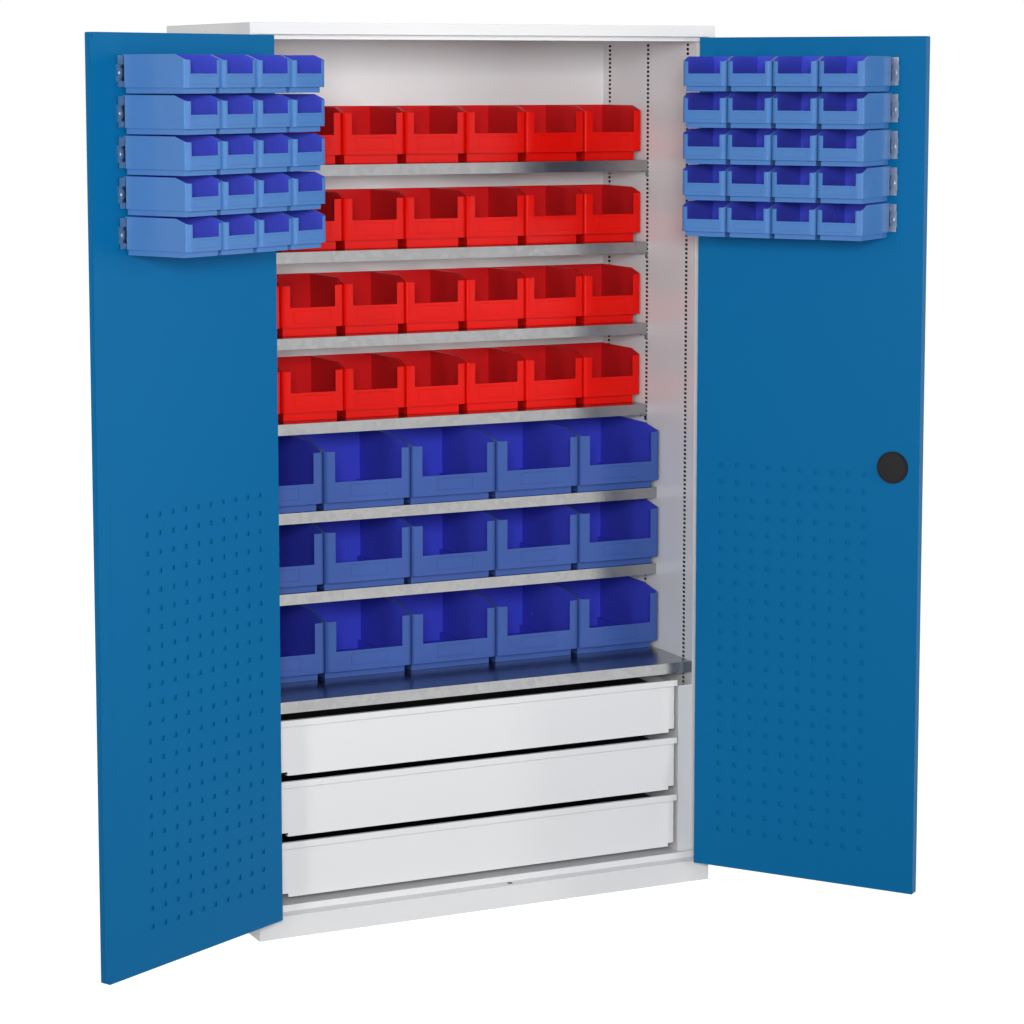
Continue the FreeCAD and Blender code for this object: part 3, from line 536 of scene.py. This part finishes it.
def bin_skin(size):
    """The outside of a bin as one open skin: walls, ledge and foot, with its window cut out."""
    bm = bmesh.new()
    half, floor = size.width / 2, size.foot_height
    box(bm, (-half, 0, floor), (half, size.length, size.height))
    upright = [edge for edge in bm.edges if abs(edge.verts[0].co.z - edge.verts[1].co.z) > floor]
    front = [edge for edge in upright if edge.verts[0].co.y < size.wall]
    rear = [edge for edge in upright if edge.verts[0].co.y > size.wall]
    round_edges(bm, front, size.corner, 5)
    round_edges(bm, [edge for edge in rear if edge.is_valid], size.wall)
    foot_half = half - size.foot_inset
    cut_across(bm, lambda: facing(bm, DOWN), (-foot_half, foot_half))
    cut(bm, facing(bm, DOWN), (0, size.foot_setback, 0), BACK)
    inside = [face for face in facing(bm, DOWN) if abs(face.calc_center_median().x) < foot_half
              and face.calc_center_median().y > size.foot_setback]
    foot = bmesh.ops.extrude_face_region(bm, geom=inside)["geom"]
    bmesh.ops.translate(bm, vec=(0, 0, -floor), verts=[v for v in foot if isinstance(v, bmesh.types.BMVert)])
    bmesh.ops.delete(bm, geom=facing(bm, UP), context="FACES")
    front_top = (0, 0, size.height - size.shoulder_drop)
    cut(bm, bm.faces[:], front_top, (0, -size.shoulder_drop, size.shoulder_length), clear_outer=True)
    gate = half - size.pillar
    cut_across(bm, lambda: facing(bm, FRONT), (-gate, gate), (size.front_height,))
    opening = [face for face in facing(bm, FRONT) if face.calc_center_median().z > size.front_height
               and abs(face.calc_center_median().x) < gate]
    bmesh.ops.delete(bm, geom=opening, context="FACES")
    return bm


def label_groove(bm, size):
    """The shallow groove round the label field on a bin's front."""
    gate = size.label / 2
    front_height = size.front_height - size.foot_height
    low, high = size.foot_height + front_height * LABEL_LOW, size.foot_height + front_height * LABEL_HIGH

    def front():
        return [face for face in facing(bm, FRONT) if abs(face.calc_center_median().y) < size.wall / 4]

    cut_across(bm, front, (-gate, gate), (low, high))
    field = [face for face in front() if abs(face.calc_center_median().x) < gate
             and low < face.calc_center_median().z < high]
    step = size.wall / 5
    for thickness, depth in ((step, -step), (2 * step, 0.0), (step, step)):
        bmesh.ops.inset_region(bm, faces=field, thickness=thickness, depth=depth, use_even_offset=True)


def storage_bin(size):
    """One bin with rounded rims and a label groove, its front at y zero and its foot at z zero.

    Faces that look into the bin or down take the second material, a deeper copy of the plastic's colour that
    paints the shade and bounced light inside the bin and under it.
    """
    bm = bin_skin(size)
    bmesh.ops.recalc_face_normals(bm, faces=bm.faces)
    bmesh.ops.solidify(bm, geom=bm.faces[:], thickness=size.wall)
    bmesh.ops.recalc_face_normals(bm, faces=bm.faces)
    edges = [edge for edge in outer_edges(bm, 50.0) if edge.calc_length() > size.wall / 2]
    round_edges(bm, edges, size.wall / 4)
    label_groove(bm, size)
    middle = Vector((0, size.length / 2, size.height / 2))
    bm.normal_update()
    # Inward and downward faces get the painted shade.
    for face in bm.faces:
        inward = face.normal.dot(middle - face.calc_center_median())
        face.material_index = int(inward > size.wall / 2 or face.normal.z < -NEARLY)
    return bm


class CABINET_OT_shelf_bins(bpy.types.Operator):
    """Makes the rows of bins on the shelves"""
    bl_idname = "tool_cabinet.shelf_bins"
    bl_label = "Shelf Bins"

    def execute(self, context):
        settings = context.scene.tool_cabinet
        case = settings.case
        for cad_node in frame["nodes"]:
            if "_bins_shelf_" not in cad_node:
                continue
            size = settings.red_bin if cad_node.startswith("red") else settings.blue_bin
            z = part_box(cad_node)[0].z
            y = case.back - case.bin_gap - size.length - case.depth / 2
            first = -(size.count - 1) * size.pitch / 2
            places = [Matrix.Translation((first + place * size.pitch, y, z)) for place in range(size.count)]
            row = add_piece(cad_node + "_moulded", repeated(storage_bin(size), places), cad_node)
            # The second material paints the shade inside and under the bins.
            row.data.materials.append(FINISHES[slot_of(cad_node) + "_inside"])
        return {"FINISHED"}


# Doors

def shut_to_open(door, side):
    """The turn about the hinge pin that opens a door, from its shut place counted from the front plane."""
    turn = -door.left_angle if side < 0 else door.right_angle
    pin = Vector((side * (door.width + door.gap / 2 - door.pin_inset), -door.pin_forward, 0))
    back = Matrix.Translation((0, -bpy.context.scene.tool_cabinet.case.depth / 2, 0))
    return back @ Matrix.Translation(pin) @ Matrix.Rotation(turn, 4, "Z") @ Matrix.Translation(-pin)


def across(door, side, along):
    """The x of a point on the shut door, given its distance from the hinge edge."""
    return side * (door.width + door.gap / 2 - along)


def on_door(door, side, along, y, z):
    """The place of a small piece on the open door, from its place on the shut one."""
    return shut_to_open(door, side) @ Matrix.Translation((across(door, side, along), y, z))


def rail_top(door, number):
    """The height of a rail's upper edge."""
    return door.bottom + door.height - door.rail_margin - number * door.rail_pitch


def door_outline(door, side, margin=0.0):
    """The lowest and highest x and z of the shut door, less a margin."""
    x_low, x_high = sorted((across(door, side, 0), across(door, side, door.width)))
    return x_low + margin, x_high - margin, door.bottom + margin, door.bottom + door.height - margin


def door_pan(door, side):
    """The outer door sheet as a pan with rounded folds and a stiffener close behind the inner sheet."""
    bm = bmesh.new()
    x_low, x_high, z_low, z_high = door_outline(door, side)
    box(bm, (x_low, 0, z_low), (x_high, door.depth - door.sheet, z_high))
    folds = [edge for edge in bm.edges if min(v.co.y for v in edge.verts) < door.sheet]
    round_edges(bm, folds, door.bend, 3)
    x_low, x_high, z_low, z_high = door_outline(door, side, door.flange)
    cut_across(bm, lambda: facing(bm, BACK), (x_low, x_high), (z_low, z_high))
    rear = [face for face in facing(bm, BACK) if x_low < face.calc_center_median().x < x_high
            and z_low < face.calc_center_median().z < z_high]
    bmesh.ops.inset_region(bm, faces=rear, thickness=0.0, depth=-door.backing, use_even_offset=True)
    bmesh.ops.recalc_face_normals(bm, faces=bm.faces)
    return bm


def door_sheet(door, side):
    """The inner door sheet with its field of square holes."""
    bm = bmesh.new()
    x_low, x_high, z_low, z_high = door_outline(door, side)
    y = door.depth
    sheet = bmesh.ops.create_grid(bm, x_segments=1, y_segments=1, size=0.5)["verts"]
    bmesh.ops.rotate(bm, matrix=Matrix.Rotation(math.radians(-90.0), 3, "X"), verts=sheet)
    bmesh.ops.scale(bm, vec=(x_high - x_low, 1, z_high - z_low), verts=sheet)
    bmesh.ops.translate(bm, vec=((x_low + x_high) / 2, y, (z_low + z_high) / 2), verts=sheet)
    half = door.hole / 2
    xs = [across(door, side, door.hole_side_margin + column * door.hole_pitch)
          for column in range(door.columns)]
    zs = [door.bottom + door.hole_bottom_margin + row * door.hole_pitch for row in range(door.rows)]
    cut_across(bm, lambda: bm.faces[:], [x + edge for x in xs for edge in (-half, half)],
               [z + edge for z in zs for edge in (-half, half)])
    holes = []
    for face in bm.faces:
        middle = face.calc_center_median()
        if min(abs(middle.x - x) for x in xs) < half / 2 and min(abs(middle.z - z) for z in zs) < half / 2:
            holes.append(face)
    bmesh.ops.delete(bm, geom=holes, context="FACES")
    bm.normal_update()
    if bm.faces[:][0].normal.y < 0:
        bmesh.ops.reverse_faces(bm, faces=bm.faces)
    bmesh.ops.solidify(bm, geom=bm.faces[:], thickness=door.sheet)
    bmesh.ops.recalc_face_normals(bm, faces=bm.faces)
    rim = [edge for edge in outer_edges(bm, 60.0) if all(v.co.y > y - door.sheet / 4 for v in edge.verts)
           and any(all(abs(v.co[axis] - limit) < half / 4 for v in edge.verts)
                   for axis, limit in ((0, x_low), (0, x_high), (2, z_low), (2, z_high)))]
    round_edges(bm, rim, door.rim, 3)
    return bm


class CABINET_OT_doors(bpy.types.Operator):
    """Makes the sheets of both doors"""
    bl_idname = "tool_cabinet.doors"
    bl_label = "Doors"

    def execute(self, context):
        door = context.scene.tool_cabinet.door
        for side, name in ((-1, "door_left"), (1, "door_right")):
            for part, bm in (("outer", door_pan(door, side)), ("liner", door_sheet(door, side))):
                bmesh.ops.transform(bm, matrix=shut_to_open(door, side), verts=bm.verts)
                add_piece(f"{name}_{part}_sheet", bm, f"{name}_{part}")
        strip, edge = "door_left_overlap_strip", context.scene.tool_cabinet.case.edge
        add_piece("door_left_overlap_fold", softened(strip, edge), strip)
        return {"FINISHED"}


class CABINET_OT_door_bins(bpy.types.Operator):
    """Makes the bins that hook over the doors' rails"""
    bl_idname = "tool_cabinet.door_bins"
    bl_label = "Door Bins"

    def execute(self, context):
        settings = context.scene.tool_cabinet
        door, size = settings.door, settings.door_bin
        bm = storage_bin(size)
        bmesh.ops.rotate(bm, cent=(0, 0, 0), matrix=Matrix.Rotation(math.pi, 3, "Z"), verts=bm.verts)
        bmesh.ops.translate(bm, vec=(0, size.length, 0), verts=bm.verts)
        half = size.width / 2
        reach = 2 * size.hook_gap + size.hook_gauge + door.rail_gauge
        hook = bmesh.new()
        box(hook, (-half, -reach, size.height - size.hook_gauge), (half, size.wall, size.height))
        box(hook, (-half, -reach, size.height - size.hook_drop),
            (half, size.hook_gauge - reach, size.height))
        round_edges(hook, outer_edges(hook), size.hook_gauge / 5)
        mesh = bpy.data.meshes.new("hook")
        hook.to_mesh(mesh)
        hook.free()
        bm.from_mesh(mesh)
        bpy.data.meshes.remove(mesh)
        y = door.depth + door.rail_reach + size.hook_gap
        for side, name in ((-1, "door_left"), (1, "door_right")):
            for group, rails in (("upper", (0, 1)), ("middle", (2, 3)), ("lower", (4,))):
                places = []
                for number in rails:
                    z = rail_top(door, number) + size.hook_gap + size.hook_gauge - size.height
                    for place in range(size.count):
                        along = size.start + size.pitch / 2 + place * size.pitch
                        places.append(on_door(door, side, along, y, z))
                row = add_piece(f"{name}_bins_{group}_moulded", repeated(bm.copy(), places),
                                f"{name}_bins_{group}")
                # The second material paints the shade inside and under the bins.
                row.data.materials.append(FINISHES["light_blue_plastic_inside"])
        bm.free()
        return {"FINISHED"}


# Sheet metal

def shade_cavity(piece):
    """Paints shade on the sheet that only the slots and the rod's hole show: those faces take the near black
    second material.
    """
    settings = bpy.context.scene.tool_cabinet
    case, door, lock = settings.case, settings.door, settings.lock
    rod = Vector((across(door, 1, lock.along) - lock.rod_offset, lock.rod_setback - case.depth / 2))
    piece.data.materials.append(FINISHES["cavity_shade"])
    wall = case.width / 2 - 1.5 * case.sheet  # half a sheet inside the outer sheets
    slots = case.liner + case.sheet / 2
    hole = lock.rod_hole * 1.02  # a little over the radius of the round hole
    # Faces behind the walls, behind the slots and in the rod's hole get the near black painted shade.
    for face in piece.data.polygons:
        outward = abs(face.center.x)
        behind_wall = outward > wall and face.normal.x * face.center.x < 0
        behind_slots = outward > slots and face.normal.y < -NEARLY and face.center.y > 0
        in_hole = (face.center.xy - rod).length < hole
        if behind_wall or behind_slots or in_hole:
            face.material_index = 1


def shade_tray(piece, cad_node):
    """Paints shade on the inside of a drawer's tray, which the gaps over the fronts show, with the near black
    second material.
    """
    low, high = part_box(cad_node)
    middle = (low + high) / 2
    piece.data.materials.append(FINISHES["cavity_shade"])
    for face in piece.data.polygons:
        if face.normal.dot(middle - face.center) > 0:
            face.material_index = 1


class CABINET_OT_sheet_metal(bpy.types.Operator):
    """Rounds the edges of the case, shelves, drawers, rails and hinges"""
    bl_idname = "tool_cabinet.sheet_metal"
    bl_label = "Sheet Metal"

    def execute(self, context):
        case = context.scene.tool_cabinet.case
        edge = case.edge
        soft = ["side_panel_left", "side_panel_right", "back_panel", "roof_panel", "base_frame",
                "floor_panel", "drawer_bay_sides", "drawer_fixed_runners", "shelf_clips",
                "hinge_frame_halves"]
        soft += [name for name in frame["nodes"]
                 if name.startswith(("shelf_", "drawer_")) and name not in soft]
        soft += [f"door_{side}_{part}" for side in ("left", "right") for part in ("hinge_halves", "rails")]
        for cad_node in soft:
            bm = softened(cad_node, edge)
            if cad_node == "back_panel":
                liner = case.liner + case.sheet / 2
                cut_across(bm, lambda: facing(bm, FRONT), (-liner, liner))
            piece = add_piece(cad_node + "_folded", bm, cad_node)
            # Painted shade goes on the sheet seen through the slots and the rod's hole, and inside the
            # drawers' trays.
            if cad_node in ("side_panel_left", "side_panel_right", "back_panel", "base_frame"):
                shade_cavity(piece)
            if cad_node.endswith("_tray"):
                shade_tray(piece, cad_node)
            if cad_node.endswith("_rails"):
                piece.data.materials[0] = FINISHES["rail"]
        return {"FINISHED"}


# Lock and screws

# The rail screws' profile from tip to socket: radius, and height over the seat
SCREW_PROFILE = ((0.0, -0.0055), (0.002, -0.0055), (0.002, 0.0), (0.004, 0.0), (0.0038, 0.0008),
                 (0.003, 0.0015), (0.0022, 0.0018), (0.0014, 0.0018), (0.0012, 0.0006), (0.0, 0.0006))
# The rims of the lock's inner cover and outer plate: how far inside the radius, and how far under the top
COVER_RIM = ((0.0, 0.0022), (0.0006, 0.0008), (0.0018, 0.0), (0.0032, 0.0), (0.0042, 0.0007),
             (0.0046, 0.0015), (0.006, 0.0015))
PLATE_RIM = ((0.0, 0.002), (0.0006, 0.0006), (0.002, 0.0))
# The dished face of the cover: share of the radius, and how far under the top
COVER_DISH = ((0.45, 0.0012), (0.0, 0.001))
ROUND_SHARP = 28.0  # degrees over which the edges of the lock's round pieces stay sharp


def turned(bm, profile, steps):
    """A closed round solid from a profile of radius and height points, round the Y axis."""
    verts = [bm.verts.new((radius, height, 0)) for radius, height in profile]
    edges = [bm.edges.new(pair) for pair in zip(verts, verts[1:])]
    bmesh.ops.spin(bm, geom=verts + edges, axis=BACK, cent=(0, 0, 0), angle=math.tau, steps=steps,
                   use_merge=True)
    bmesh.ops.remove_doubles(bm, verts=bm.verts, dist=MERGE_DISTANCE)
    bmesh.ops.recalc_face_normals(bm, faces=bm.faces)


class CABINET_OT_screws(bpy.types.Operator):
    """Makes the screws of the doors' rails"""
    bl_idname = "tool_cabinet.screws"
    bl_label = "Rail Screws"

    def execute(self, context):
        door = context.scene.tool_cabinet.door
        seat = door.depth + door.screw_seat
        first = door.rail_start + door.screw_inset
        last = door.rail_start + door.rail_length - door.screw_inset
        for side, name in ((-1, "door_left"), (1, "door_right")):
            bm = bmesh.new()
            turned(bm, [(radius, seat + height) for radius, height in SCREW_PROFILE], 20)
            places = []
            for number in range(door.rails):
                z = rail_top(door, number) - door.rail_height + door.screw_height
                places += [on_door(door, side, along, 0, z) for along in (first, last)]
            add_piece(f"{name}_rail_screws_turned", repeated(bm, places), f"{name}_rail_screws")
        return {"FINISHED"}


class CABINET_OT_lock(bpy.types.Operator):
    """Makes the lock's inner cover, outer plate, handle and key cylinder"""
    bl_idname = "tool_cabinet.lock"
    bl_label = "Lock"

    def execute(self, context):
        settings = context.scene.tool_cabinet
        door, lock = settings.door, settings.lock
        place = on_door(door, 1, lock.along, 0, lock.height)
        cover = bmesh.new()
        base, top, radius = door.depth, door.depth + lock.cover_height, lock.cover_radius
        rim = [(radius - inside, top - under) for inside, under in COVER_RIM]
        dish = [(radius * share, top - under) for share, under in COVER_DISH]
        turned(cover, [(0, base), (radius, base), *rim, *dish], 72)
        bmesh.ops.transform(cover, matrix=place, verts=cover.verts)
        add_piece("lock_cover_cap", cover, "lock_cover", ROUND_SHARP)
        plate = bmesh.new()
        height, radius, bore = lock.plate_height, lock.plate_radius, lock.spindle
        rim = [(radius - inside, under - height) for inside, under in PLATE_RIM]
        turned(plate, [(bore, 0), (radius, 0), *rim, (bore, -height), (bore, 0)], 64)
        bmesh.ops.transform(plate, matrix=place, verts=plate.verts)
        add_piece("lock_handle_rose", plate, "lock_handle_plate", ROUND_SHARP)
        add_piece("lock_handle_grip", softened("lock_handle", lock.grip_edge, 3), "lock_handle", ROUND_SHARP)
        add_piece("lock_cylinder_barrel", softened("lock_cylinder", lock.barrel_edge), "lock_cylinder")
        return {"FINISHED"}


class CABINET_OT_finishes(bpy.types.Operator):
    """Gives every node that still shows its finish"""
    bl_idname = "tool_cabinet.finishes"
    bl_label = "Finishes"

    def execute(self, context):
        for cad_node, shape in frame["nodes"].items():
            material = FINISHES[slot_of(cad_node)]
            if not shape.data.materials:
                shape.data.materials.append(material)
            for index in range(len(shape.material_slots)):
                shape.material_slots[index].material = material
        return {"FINISHED"}


# Studio

WHITE = (1.0, 1.0, 1.0, 1.0)
FLOOR_TONE = (0.3, 0.3, 0.3, 1.0)
FLOOR_GLOW = 0.92  # the floor's own light beside the cabinet, which grows to one between two distances
GLOW_START, GLOW_END = 1.0, 4.0
LAMP_SPREAD = 110.0  # degrees, so that the light falls off towards the floor
# Each lamp's name, place, aim, width and height, setting for its power, and whether shiny surfaces show it
LAMPS = (
    ("Key", (-2.5, -6.0, 2.3), (0, 0, 1.7), (1.2, 1.2), "key", False),
    ("Left", (-4.6, -3.7, 1.9), (0.2, 0, 1.7), (0.7, 2.6), "left", True),
    ("Right", (2.6, -5.4, 1.9), (0, 0, 1.7), (2.6, 2.6), "right", False),
    ("Strip", (4.6, -3.4, 1.6), (0.5, 0, 1.2), (0.4, 2.6), "strip", True),
    ("Back Left", (-3.4, 3.4, 2.6), (0, 0, 1.0), (2.5, 2.5), "back", False),
    ("Back Right", (3.4, 3.4, 2.6), (0, 0, 1.0), (2.5, 2.5), "back", False),
)


def shown_rays(tree):
    """One for rays from the camera, shiny surfaces and clear ones, and zero for the rest."""
    path = node(tree, "ShaderNodeLightPath")
    shown = path.outputs["Is Camera Ray"]
    for output in ("Is Glossy Ray", "Is Transmission Ray"):
        shown = maths(tree, "MAXIMUM", shown, path.outputs[output])
    return shown


def studio_world(sky):
    """An even white surround that the camera and shiny surfaces see as white."""
    world = bpy.data.worlds.new("Studio")
    bpy.context.scene.world = world
    world.use_nodes = True
    tree = world.node_tree
    light = fill(tree.nodes["Background"], Color=WHITE)
    strength = node(tree, "ShaderNodeMapRange", To_Min=sky, To_Max=1.0)
    tree.links.new(shown_rays(tree), strength.inputs["Value"])
    tree.links.new(strength.outputs["Result"], light.inputs["Strength"])


def floor_material(half_width, half_depth):
    """A white floor, except under the case, that keeps the cabinet's shadow."""
    material = bpy.data.materials.new("Studio Floor")
    material.use_nodes = True
    tree = material.node_tree
    shader = fill(tree.nodes["Principled BSDF"], Base_Color=FLOOR_TONE, Roughness=0.9, Specular_IOR_Level=0.0,
                  Emission_Color=WHITE)
    place = node(tree, "ShaderNodeTexCoord")
    sides = node(tree, "ShaderNodeSeparateXYZ")
    tree.links.new(place.outputs["Object"], sides.inputs["Vector"])
    past_side, past_end = (maths(tree, "GREATER_THAN", maths(tree, "ABSOLUTE", sides.outputs[axis]), half)
                           for axis, half in (("X", half_width), ("Y", half_depth)))
    reach = node(tree, "ShaderNodeVectorMath")
    reach.operation = "LENGTH"
    tree.links.new(place.outputs["Object"], reach.inputs[0])
    white = node(tree, "ShaderNodeMapRange", From_Min=GLOW_START, From_Max=GLOW_END,
                 To_Min=FLOOR_GLOW, To_Max=1.0)
    tree.links.new(reach.outputs["Value"], white.inputs["Value"])
    strength = white.outputs["Result"]
    for factor in (maths(tree, "MAXIMUM", past_side, past_end), shown_rays(tree)):
        strength = maths(tree, "MULTIPLY", strength, factor)
    tree.links.new(strength, shader.inputs["Emission Strength"])
    return material


def area_lamp(name, place, aim, size, watts, mirrored):
    """A soft lamp that looks at a point, and that shiny surfaces show only where asked."""
    lamp = bpy.data.lights.new(name, "AREA")
    lamp.shape = "RECTANGLE"
    lamp.size, lamp.size_y = size
    lamp.energy = watts
    lamp.spread = math.radians(LAMP_SPREAD)
    holder = bpy.data.objects.new(name, lamp)
    holder.visible_glossy = mirrored
    holder.location = place
    holder.rotation_euler = (Vector(aim) - Vector(place)).to_track_quat("-Z", "Y").to_euler()
    bpy.context.scene.collection.objects.link(holder)


class CABINET_OT_studio(bpy.types.Operator):
    """Sets up the floor, lamps and camera"""
    bl_idname = "tool_cabinet.studio"
    bl_label = "Studio"

    def execute(self, context):
        studio, case = context.scene.tool_cabinet.studio, context.scene.tool_cabinet.case
        context.scene.view_settings.view_transform = "Standard"
        studio_world(studio.sky)
        bm = bmesh.new()
        bmesh.ops.create_grid(bm, x_segments=1, y_segments=1, size=studio.floor / 2)
        mesh = bpy.data.meshes.new("floor")
        bm.to_mesh(mesh)
        bm.free()
        floor = bpy.data.objects.new("floor", mesh)
        mesh.materials.append(floor_material(case.width / 2, case.depth / 2))
        context.scene.collection.objects.link(floor)
        for name, place, aim, size, setting, mirrored in LAMPS:
            area_lamp(name, place, aim, size, getattr(studio, setting), mirrored)
        data = bpy.data.cameras.new("Camera")
        data.lens = studio.lens
        data.sensor_width = studio.sensor
        data.shift_y = studio.shift
        camera = bpy.data.objects.new("Camera", data)
        camera.location = studio.place
        camera.rotation_euler = (math.pi / 2 - studio.tilt, 0, -studio.turn)
        context.scene.collection.objects.link(camera)
        context.scene.camera = camera
        return {"FINISHED"}


# The add-on

OPERATORS = (
    CABINET_OT_finishes,
    CABINET_OT_sheet_metal,
    CABINET_OT_doors,
    CABINET_OT_shelf_bins,
    CABINET_OT_door_bins,
    CABINET_OT_screws,
    CABINET_OT_lock,
    CABINET_OT_studio,
)


class CABINET_PT_panel(bpy.types.Panel):
    """The cabinet's buttons in the sidebar"""
    bl_label = "Tool Cabinet"
    bl_idname = "CABINET_PT_panel"
    bl_space_type = "VIEW_3D"
    bl_region_type = "UI"
    bl_category = "Tool Cabinet"

    def draw(self, context):
        for operator in OPERATORS:
            self.layout.operator(operator.bl_idname)


CLASSES = (
    RedBinSettings,
    BlueBinSettings,
    DoorBinSettings,
    CaseSettings,
    DoorSettings,
    LockSettings,
    FinishSettings,
    StudioSettings,
    CabinetSettings,
    *OPERATORS,
    CABINET_PT_panel,
)
FINISHES = {}


def register():
    """Adds the classes and the settings."""
    for item in CLASSES:
        bpy.utils.register_class(item)
    bpy.types.Scene.tool_cabinet = PointerProperty(type=CabinetSettings)


def unregister():
    """Takes the settings and the classes away."""
    del bpy.types.Scene.tool_cabinet
    for item in reversed(CLASSES):
        bpy.utils.unregister_class(item)


def main():
    """Builds the cabinet's looks."""
    register()
    FINISHES.update(make_finishes(bpy.context.scene.tool_cabinet.finish))
    bpy.ops.tool_cabinet.finishes()
    bpy.ops.tool_cabinet.sheet_metal()
    bpy.ops.tool_cabinet.doors()
    bpy.ops.tool_cabinet.shelf_bins()
    bpy.ops.tool_cabinet.door_bins()
    bpy.ops.tool_cabinet.screws()
    bpy.ops.tool_cabinet.lock()
    bpy.ops.tool_cabinet.studio()


if __name__ == "__main__":
    main()
